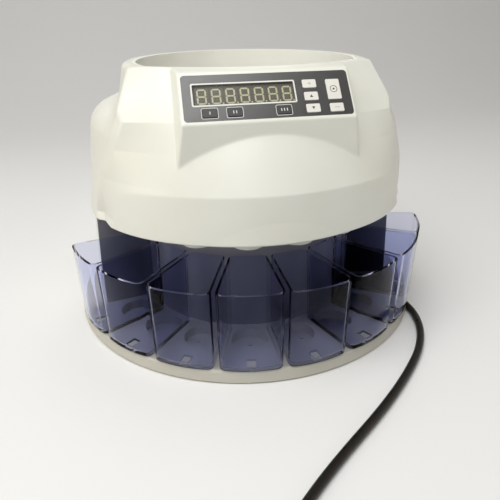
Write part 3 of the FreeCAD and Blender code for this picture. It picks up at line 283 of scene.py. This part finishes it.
def key_mark(name, outlines, rings, material):
    vs, fs = [], []
    for line in outlines:
        slab(line, KEY_TOP - 0.05, KEY_TOP + 0.05, vs, fs)
    for outer, inner in rings:
        band(outer, inner, KEY_TOP - 0.05, KEY_TOP + 0.05, vs, fs)
    o = add_mesh(name + "_mark", vs, fs, material, name + "_cap")
    return o


def disc_line(r, x, y, n=36):
    return [(x + r * math.cos(2 * math.pi * k / n), y + r * math.sin(2 * math.pi * k / n)) for k in range(n)]


x, y, w, h = KEYS["key_up"]
key_mark("key_up", [[(x - 1.35, y - 1.2), (x + 1.35, y - 1.2), (x, y + 1.3)]], [], INK)
x, y, w, h = KEYS["key_down"]
key_mark("key_down", [[(x - 1.35, y + 1.2), (x, y - 1.3), (x + 1.35, y + 1.2)]], [], INK)
x, y, w, h = KEYS["key_start"]
key_mark("key_start", [disc_line(0.85, x, y)], [(disc_line(3.2, x, y), disc_line(2.72, x, y))], INK)
x, y, w, h = KEYS["key_step"]
key_mark("key_step", [[(x - 1.6, y - 0.28), (x + 1.6, y - 0.28), (x + 1.6, y + 0.28), (x - 1.6, y + 0.28)],
                      [(x - 0.28, y + 0.3), (x + 0.28, y + 0.3), (x + 0.28, y + 1.6), (x - 0.28, y + 1.6)],
                      [(x - 0.28, y - 1.6), (x + 0.28, y - 1.6), (x + 0.28, y - 0.3), (x - 0.28, y - 0.3)]], [], PRINT_GREY)
x, y, w, h = KEYS["key_clear"]
key_mark("key_clear", [[(x - 2.2, y - 0.3), (x + 2.2, y - 0.3), (x + 2.2, y + 0.3), (x - 2.2, y + 0.3)]], [], PRINT_GREY)
for nm, count in (("key_left", 1), ("key_middle", 2), ("key_right", 3)):
    x, y, w, h = KEYS[nm]
    # one, two or three short bars
    x0 = x - (count - 1) * 1.2
    key_mark(nm, [[(x0 + 2.4 * k - 0.35, y - 1.25), (x0 + 2.4 * k + 0.35, y - 1.25), (x0 + 2.4 * k + 0.35, y + 1.25), (x0 + 2.4 * k - 0.35, y + 1.25)] for k in range(count)], [], PRINT)

# seven-segment digits, unlit, on the front of the modules
SEG_Z = -2.6
vs, fs = [], []
sw, sh, st, gap = 8.0, 13.9, 1.35, 0.22
for k in range(7):
    cx, cy = -54.6 + 11.95 * k, 1.7 + 0.6
    cx -= 0.4
    xl, xr, yt, ym, yb = cx - sw / 2 + st / 2, cx + sw / 2 - st / 2, cy + sh / 2 - st / 2, cy, cy - sh / 2 + st / 2

    def bar_h(x0, x1, y0):
        hh = st / 2
        return [(x0 + gap, y0), (x0 + gap + hh, y0 - hh), (x1 - gap - hh, y0 - hh), (x1 - gap, y0), (x1 - gap - hh, y0 + hh), (x0 + gap + hh, y0 + hh)]

    def bar_v(x0, y0, y1):
        hh = st / 2
        return [(x0, y0 + gap), (x0 + hh, y0 + gap + hh), (x0 + hh, y1 - gap - hh), (x0, y1 - gap), (x0 - hh, y1 - gap - hh), (x0 - hh, y0 + gap + hh)]
    for line in (bar_h(xl, xr, yt), bar_h(xl, xr, ym), bar_h(xl, xr, yb), bar_v(xl, yb, ym), bar_v(xl, ym, yt), bar_v(xr, yb, ym), bar_v(xr, ym, yt), disc_line(0.75, cx + sw / 2 + 1.4, yb, 16)):
        slab(line, SEG_Z, SEG_Z + 0.12, vs, fs)
add_mesh("digit_segments", vs, fs, SEGMENT, "casing")

# ---------------------------------------------------------------- upper cover
# The moulded shell as one skin: for every direction about the upright axis through (0, CY) a line is walked
# from the lower edge of the band over the wall, the soft lip, the slope and the rim to the mouth of the bowl.
CY = 5.5
A_KEYS = [0, 12, 22, 30, 40, 50, 58, 66, 75, 90, 110, 180]
R_BAND = [158.9, 159.5, 160.2, 161.2, 162.5, 163.2, 163.0, 162.2, 160.6, 158.4, 158.3, 158.3]
R_LIP = [158.4, 158.0, 158.4, 159.2, 160.3, 162.0, 162.6, 161.2, 158.2, 155.4, 155.4, 155.6]
R_TOP = [156.0, 156.0, 156.0, 156.4, 156.8, 156.6, 155.4, 154.4, 153.6, 153.3, 153.3, 153.3]
DRUM_LOW, WALL = 115.3, 2.6


def smooth_table(values):
    """The table over 0 to 180 degrees as an even periodic series, which has no corners."""
    a = np.arange(0, 361, 1.0)
    y = np.interp(np.minimum(a, 360 - a), A_KEYS, values)[:-1]
    f = np.fft.rfft(y)
    k = np.arange(len(f))
    return np.fft.irfft(f * np.exp(-(k / 16.0) ** 2), 360)


TABLES = [smooth_table(t) for t in (R_BAND, R_LIP, R_TOP)]


def table_at(k, th):
    a = np.degrees(np.abs(th)) % 360.0
    i = np.floor(a).astype(int)
    f = a - i
    return TABLES[k][i % 360] * (1 - f) + TABLES[k][(i + 1) % 360] * f


def smax(a, b, r):
    u, w = np.maximum(a + r, 0.0), np.maximum(b + r, 0.0)
    return np.minimum(np.maximum(a, b), -r) + np.sqrt(u * u + w * w)


def smin(a, b, r):
    return -smax(-a, -b, r)


def step_s(lo, hi, x):
    t = np.clip((x - lo) / (hi - lo), 0.0, 1.0)
    return t * t * (3 - 2 * t)


def section(x, z):
    """How far the sloped front falls back from its middle line, at a distance x to the side."""
    x = np.abs(x)
    a = np.interp(z, [160, 200, 254], [165.0, 165.0, 175.0])
    c = np.interp(z, [160, 187, 211, 229, 254], [0.0, 2.0e-8, 6.0e-8, 4.5e-8, 0.0])
    n = np.minimum(x, 126.0)
    return n * n / (2 * a) - c * n ** 4 + (x - n) * (126.0 / a - 4 * c * 126.0 ** 3)


LIP_TH = np.radians(np.arange(0.0, 62.1, 1.0))
LIP_X = (table_at(1, LIP_TH) + 0.2) * np.sin(LIP_TH)
LIP_Y = CY - (table_at(1, LIP_TH) + 0.2) * np.cos(LIP_TH) + 153.1
LIP_FIX = LIP_Y - section(LIP_X, np.full(LIP_X.shape, 160.0))


def slope_field(x, y, z):
    """Distance in front of the sloped front, which starts at the lip and ends at the rim."""
    t = (z - 160.0) / 93.0
    mid = -153.1 + 56.1 * t - 2.4 * t * (1 - t)
    fix = np.interp(np.abs(x), LIP_X, LIP_FIX) * np.clip(1.0 - t, 0.0, 1.4) ** 2.5
    return (mid + section(x, z) + fix - y) / np.sqrt(1.36 + (x / 175.0) ** 2)


pn = P_ROT @ Vector((0, 0, 1))
side_n = Vector((0, LY - TY, LZ - TZ)).cross(Vector((79.0 - 73.8, -124.5 - LY, 173.8 - LZ)))
side_n.normalize()
side_n = side_n if side_n.x > 0 else -side_n
low_n = Vector((0, -124.5 - LY, 173.8 - LZ)).cross(Vector((1, 0, 0))).normalized()
low_n = low_n if low_n.y < 0 else -low_n
top_n = Vector((0, -0.19, 1.0)).normalized()


def plane(x, y, z, n, p):
    return (x - p[0]) * n[0] + (y - p[1]) * n[1] + (z - p[2]) * n[2]


def shell_field(th, rho, z, floor=True):
    """Distance to the skin of the cover, negative inside. All lengths in millimetres, fan frame."""
    x, y = rho * np.sin(th), CY - rho * np.cos(th)
    band_r, lip_r, top_r = table_at(0, th), table_at(1, th), table_at(2, th)
    t1 = np.clip((z - DRUM_LOW) / (160.0 - DRUM_LOW), -0.2, 1.0)
    t2 = np.clip((z - 160.0) / 40.0, 0.0, 1.6)
    wall_r = band_r + (lip_r - band_r) * t1 + (top_r - lip_r) * t2
    side = smax(rho - wall_r, y - 145.3, 2.0)
    cone = ((z - 211.5) - (0.9476 * top_r - rho) * 0.455) / math.sqrt(1 + 0.455 ** 2)
    body = smax(side, smax(cone, z - 222.0, 3.0), 11.0)
    q = np.hypot(x, y + 16.0)
    zt = z - (y + 16.0) * 0.01134
    neck = smax(q - (121.8 - 0.16 * (zt - 232.0)), zt - 254.1, 4.4)
    flare = smax((np.abs(x) - 113.0 - 0.34 * (254.0 - z)) * 0.947, zt - 254.1, 3.0)
    neck = smin(neck, np.maximum(smax(flare, side, 2.0), y + 20.0), 2.0)
    body = smin(body, neck, 7.0)
    body = smax(body, slope_field(x, y, z), 0.6 + 0.9 * np.clip((z - 160.0) / 60.0, 0, 1))
    lid = plane(x, y, z, pn, (0, TY, TZ)) + 0.06
    low = plane(x, y, z, low_n, (0, LY, LZ))
    hood = smax(smax(lid, low, 0.75), smax(plane(x, y, z, top_n, (0, TY, TZ)), zt - 254.1, 1.0), 0.75)
    flank = np.maximum(plane(np.abs(x), y, z, side_n, (73.8, TY, TZ)), -400.0)
    hood = smax(hood, flank, 1.9)
    hood = np.maximum(hood, y + 40.0)
    out = smin(body, hood, 0.9)
    if floor:
        out = smax(out, DRUM_LOW - z, 1.3)
    return out


def mouth_field(th, rho, z):
    x, y = rho * np.sin(th), CY - rho * np.cos(th)
    return np.maximum(np.hypot(x, y + 16.0) - 109.15, slope_field(x, y, z) + 3.0)


R0, Z0 = 70.0, 132.0


def skin(th, phi, level, floor=True):
    """Points of the skin, or of a copy set in by level, along rays in each upright half-plane."""
    c, s = np.cos(phi), np.sin(phi)
    lo, hi = np.full(phi.shape, 5.0), np.full(phi.shape, 150.0)
    for _ in range(26):
        mid = (lo + hi) / 2
        inside = shell_field(th, R0 + c * mid, Z0 + s * mid, floor) < -level
        lo, hi = np.where(inside, mid, lo), np.where(inside, hi, mid)
    t = (lo + hi) / 2
    return R0 + c * t, Z0 + s * t


def cover_mesh():
    fine, coarse = 0.30, 0.62
    th = list(np.arange(-54.0, 54.0, fine)) + list(np.arange(54.0, 306.0, coarse))
    th = np.radians(np.array(th))
    th = np.where(th > math.pi, th - 2 * math.pi, th)
    n = len(th)
    # where each line starts, at the lower edge, and ends, at the mouth
    edge = np.minimum(table_at(0, th), (145.3 - CY) / np.maximum(-np.cos(th), 0.05)) - WALL
    start = np.arctan2(DRUM_LOW - Z0, edge - R0)
    lo, hi = np.full(n, math.radians(50.0)), np.full(n, math.radians(100.0))
    for _ in range(24):
        mid = (lo + hi) / 2
        r, z = skin(th, mid, 0.0)
        outside = mouth_field(th, r, z) > 0
        lo, hi = np.where(outside, mid, lo), np.where(outside, hi, mid)
    end = (lo + hi) / 2
    # even spacing along each line, closer where it bends
    m, rows = 900, 225
    u = np.linspace(0, 1, m)
    grid = start[:, None] + (end - start)[:, None] * u[None, :]
    r, z = skin(np.repeat(th[:, None], m, 1), grid, 0.0)
    dr, dz = np.diff(r, axis=1), np.diff(z, axis=1)
    length = np.hypot(dr, dz)
    ang = np.unwrap(np.arctan2(dz, dr), axis=1)
    bend = np.abs(np.diff(ang, axis=1, prepend=ang[:, :1]))
    kern = np.hanning(15)
    kern /= kern.sum()
    bend = np.apply_along_axis(lambda row: np.convolve(np.minimum(row, 0.4), kern, mode="same"), 1, bend)
    cost = length + 9.0 * bend
    # the same spread for neighbouring lines, so that no row jumps
    w = np.hanning(9)
    w /= w.sum()
    total = np.concatenate([np.zeros((n, 1)), np.cumsum(cost, axis=1)], axis=1)
    total /= total[:, -1:]
    pos = np.stack([np.interp(np.linspace(0, 1, rows), total[k], u) for k in range(n)])
    pad = np.concatenate([pos[-4:], pos, pos[:4]])
    pos = sum(w[k] * pad[k:k + n] for k in range(9))
    phi = start[:, None] + (end - start)[:, None] * pos
    tt = np.repeat(th[:, None], rows, 1)
    ro, zo = skin(tt, phi, 0.0)
    ri, zi = skin(tt, phi, 2.4, False)
    # the inner skin keeps below the rim and above the lower edge
    zi[:, 0] = DRUM_LOW
    ri[:, 0] = edge
    ro[:, 0] = ri[:, 0] + 0.35
    zo[:, 0] = DRUM_LOW

    def to_points(r, z):
        return np.stack([r * np.sin(tt), CY + SHIFT - r * np.cos(tt), z], -1).reshape(-1, 3) * MM
    outer, inner = to_points(ro, zo), to_points(ri, zi)
    idx = np.arange(n * rows).reshape(n, rows)
    a, b = idx, np.roll(idx, -1, axis=0)
    quads = np.stack([a[:, :-1], b[:, :-1], b[:, 1:], a[:, 1:]], -1)
    # the place of the label, window and keys is open
    inv = P_ROT.inverted()
    cen = outer[quads.reshape(-1, 4)].mean(1) / MM
    cen[:, 1] -= SHIFT
    loc = (cen - np.array(P_AT)) @ np.array(inv).T
    hole = (np.abs(loc[:, 0]) < 69.6) & (np.abs(loc[:, 1]) < 19.3) & (np.abs(loc[:, 2]) < 3.0)
    hole = hole.reshape(n, rows - 1)
    keepq = quads[~hole]
    k = n * rows
    faces = [keepq, keepq[:, ::-1] + k]
    faces.append(np.stack([b[:, 0], a[:, 0], a[:, 0] + k, b[:, 0] + k], -1))
    faces.append(np.stack([a[:, -1], b[:, -1], b[:, -1] + k, a[:, -1] + k], -1))
    # walls round the open place
    up = np.roll(hole, -1, axis=0)
    for i, j in zip(*np.nonzero(hole != up)):
        i2 = (i + 1) % n
        p0, p1 = idx[i2, j], idx[i2, j + 1]
        quad = [p0, p1, p1 + k, p0 + k] if up[i, j] else [p1, p0, p0 + k, p1 + k]
        faces.append(np.array([quad[::-1]]))
    for i, j in zip(*np.nonzero(hole[:, 1:] != hole[:, :-1])):
        i2 = (i + 1) % n
        p0, p1 = idx[i, j + 1], idx[i2, j + 1]
        quad = [p0, p1, p1 + k, p0 + k] if hole[i, j + 1] else [p1, p0, p0 + k, p1 + k]
        faces.append(np.array([quad]))
    faces = np.concatenate(faces)
    verts = np.concatenate([outer, inner])
    used = np.zeros(len(verts), bool)
    used[faces.ravel()] = True
    remap = np.cumsum(used) - 1
    return verts[used], remap[faces]


cv, cf = cover_mesh()
me = bpy.data.meshes.new("cover_shell_skin")
me.from_pydata(cv.tolist(), [], cf.tolist())
me.update()
bm = bmesh.new()
bm.from_mesh(me)
bmesh.ops.recalc_face_normals(bm, faces=bm.faces)
bm.to_mesh(me)
bm.free()
for p in me.polygons:
    p.use_smooth = True
me.set_sharp_from_angle(angle=math.radians(48))
cover = bpy.data.objects.new("moulded_cover", me)
scene.collection.objects.link(cover)
me.materials.append(COVER)
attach(cover, "casing")
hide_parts("upper_cover")

# ---------------------------------------------------------------- mains lead
ROUTE = [
    (150.2, -86.0, 4.4), (151.9, -97.5, 3.9), (151.2, -113.0, 3.5), (143.6, -138.5, 3.5), (127.0, -166.0, 3.5), (104.5, -191.0, 3.5),
    (79.0, -215.5, 3.5), (50.5, -239.5, 3.5), (20.0, -263.0, 3.5), (-10.0, -288.0, 3.5), (-36.0, -313.0, 3.5), (-57.0, -337.2, 3.5),
]
COIL_START, COIL_END, COIL_R, PITCH_R = 139.0, 288.0, 49.7, 7.12
coil_c = Vector((ROUTE[-1][0] - COIL_R * math.cos(math.radians(COIL_START)), ROUTE[-1][1] - COIL_R * math.sin(math.radians(COIL_START))))
# two layers of turns: the lower one winds inwards, the lead climbs at the inside, and the upper one winds outwards
INNER = 31.2
T1 = (COIL_R - INNER) / PITCH_R * 360.0
T2 = T1 + 90.0
T3 = COIL_END - COIL_START + 360.0 * 5
pts = list(ROUTE[:-1])
step = 22.5
a = 8.0
while a < T3 - 6:
    if a < T1:
        r, z = COIL_R - PITCH_R * a / 360.0, 3.5
    elif a < T2:
        t = (a - T1) / (T2 - T1)
        r, z = INNER, 3.5 + 7.1 * (3 * t * t - 2 * t * t * t)
    else:
        r, z = INNER + PITCH_R * (a - T2) / 360.0, 10.6
    r = r / math.cos(math.radians(step / 2.0))
    ang = math.radians(COIL_START + a)
    pts.append((coil_c.x + r * math.cos(ang), coil_c.y + r * math.sin(ang), z))
    a += step
end_r = INNER + PITCH_R * (T3 - T2) / 360.0
ang = math.radians(COIL_END)
tx, ty = -math.sin(ang), math.cos(ang)
T = (coil_c.x + end_r * math.cos(ang), coil_c.y + end_r * math.sin(ang))
pts += [(T[0] + tx * 2, T[1] + ty * 2, 10.5), (T[0] + tx * 13, T[1] + ty * 13, 9.2), (T[0] + tx * 24, T[1] + ty * 24, 8.5)]

cu = bpy.data.curves.new("mains_lead", "CURVE")
cu.dimensions = "3D"
sp = cu.splines.new("NURBS")
sp.points.add(len(pts) - 1)
for k, p in enumerate(pts):
    q = at(*p)
    sp.points[k].co = (q.x, q.y, q.z, 1.0)
sp.order_u = 3
sp.use_endpoint_u = True
sp.resolution_u = 8
cu.bevel_depth = 0.0035
cu.bevel_resolution = 5
cu.use_fill_caps = True
lead = bpy.data.objects.new("mains_lead", cu)
scene.collection.objects.link(lead)
cu.materials.append(JACKET)


def spline_length(points):
    """Length of the quadratic B-spline through the control points, sampled from the curve itself."""
    c2 = cu.copy()
    c2.bevel_depth = 0.0
    tmp = bpy.data.objects.new("tmp_line", c2)
    scene.collection.objects.link(tmp)
    me = bpy.data.meshes.new_from_object(tmp)
    co = [v.co.copy() for v in me.vertices]
    bpy.data.objects.remove(tmp)
    return sum((co[k + 1] - co[k]).length for k in range(len(co) - 1))


LEAD_LENGTH = spline_length(pts)
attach(lead, "casing")
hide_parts("mains_cord", "cord_coil")
print("lead length", round(LEAD_LENGTH, 4), "points", len(pts), "coil centre", [round(c, 2) for c in coil_c])

# ---------------------------------------------------------------- floor and light
me = bpy.data.meshes.new("floor")
# a table that runs up into a pale backdrop
prof = [(-6.0, 0.0), (0.9, 0.0)]
for k in range(1, 13):
    t = math.radians(7.5 * k)
    prof.append((0.9 + 1.2 * math.sin(t), 1.2 * (1 - math.cos(t))))
prof.append((2.1, 4.0))
me.from_pydata([(x, y, z) for y, z in prof for x in (-6, 6)], [], [(2 * k, 2 * k + 1, 2 * k + 3, 2 * k + 2) for k in range(len(prof) - 1)])
me.polygons.foreach_set("use_smooth", [True] * len(me.polygons))
floor = bpy.data.objects.new("floor", me)
scene.collection.objects.link(floor)
FLOOR = Mat("pale_floor", (0.86, 0.86, 0.855), 0.6, Emission_Color=(1.0, 0.995, 0.98, 1.0), Emission_Strength=0.03).vary(3.0, 0.01, (1, 1, 1)).bump(400.0, 0.05, 0.0002).m
me.materials.append(FLOOR)

world = bpy.data.worlds.new("studio")
world.use_nodes = True
world.node_tree.nodes["Background"].inputs["Color"].default_value = (1.0, 0.985, 0.95, 1.0)
world.node_tree.nodes["Background"].inputs["Strength"].default_value = 0.30
scene.world = world


def softbox(name, place, target, size, power, color):
    ld = bpy.data.lights.new(name, "AREA")
    ld.shape = "RECTANGLE"
    ld.size, ld.size_y = size
    ld.energy = power
    ld.color = color
    lo = bpy.data.objects.new(name, ld)
    d = Vector(target) - Vector(place)
    lo.rotation_euler = d.to_track_quat("-Z", "Y").to_euler()
    lo.location = place
    scene.collection.objects.link(lo)


softbox("overhead", (-0.40, -0.50, 1.5), (0, 0.0, 0.12), (1.35, 1.2), 19.6, (1.0, 1.0, 0.99))
softbox("left_fill", (-1.3, -0.35, 0.55), (0, 0, 0.12), (0.7, 0.9), 3.2, (1.0, 0.88, 0.72))
softbox("right_fill", (1.35, -0.25, 0.5), (0, 0, 0.12), (0.7, 0.9), 1.1, (1.0, 0.80, 0.60))
ld = bpy.data.lights.new("bowl_light", "SPOT")
ld.energy, ld.color = 14.0, (1.0, 0.995, 0.97)
ld.spot_size, ld.spot_blend, ld.shadow_soft_size = math.radians(17.0), 0.9, 0.12
lo = bpy.data.objects.new("bowl_light", ld)
lo.location = (0.0, -0.60, 0.95)
lo.rotation_euler = (Vector((0.0, 0.115, 0.215)) - lo.location).to_track_quat("-Z", "Y").to_euler()
scene.collection.objects.link(lo)
scene.view_settings.view_transform = "Standard"
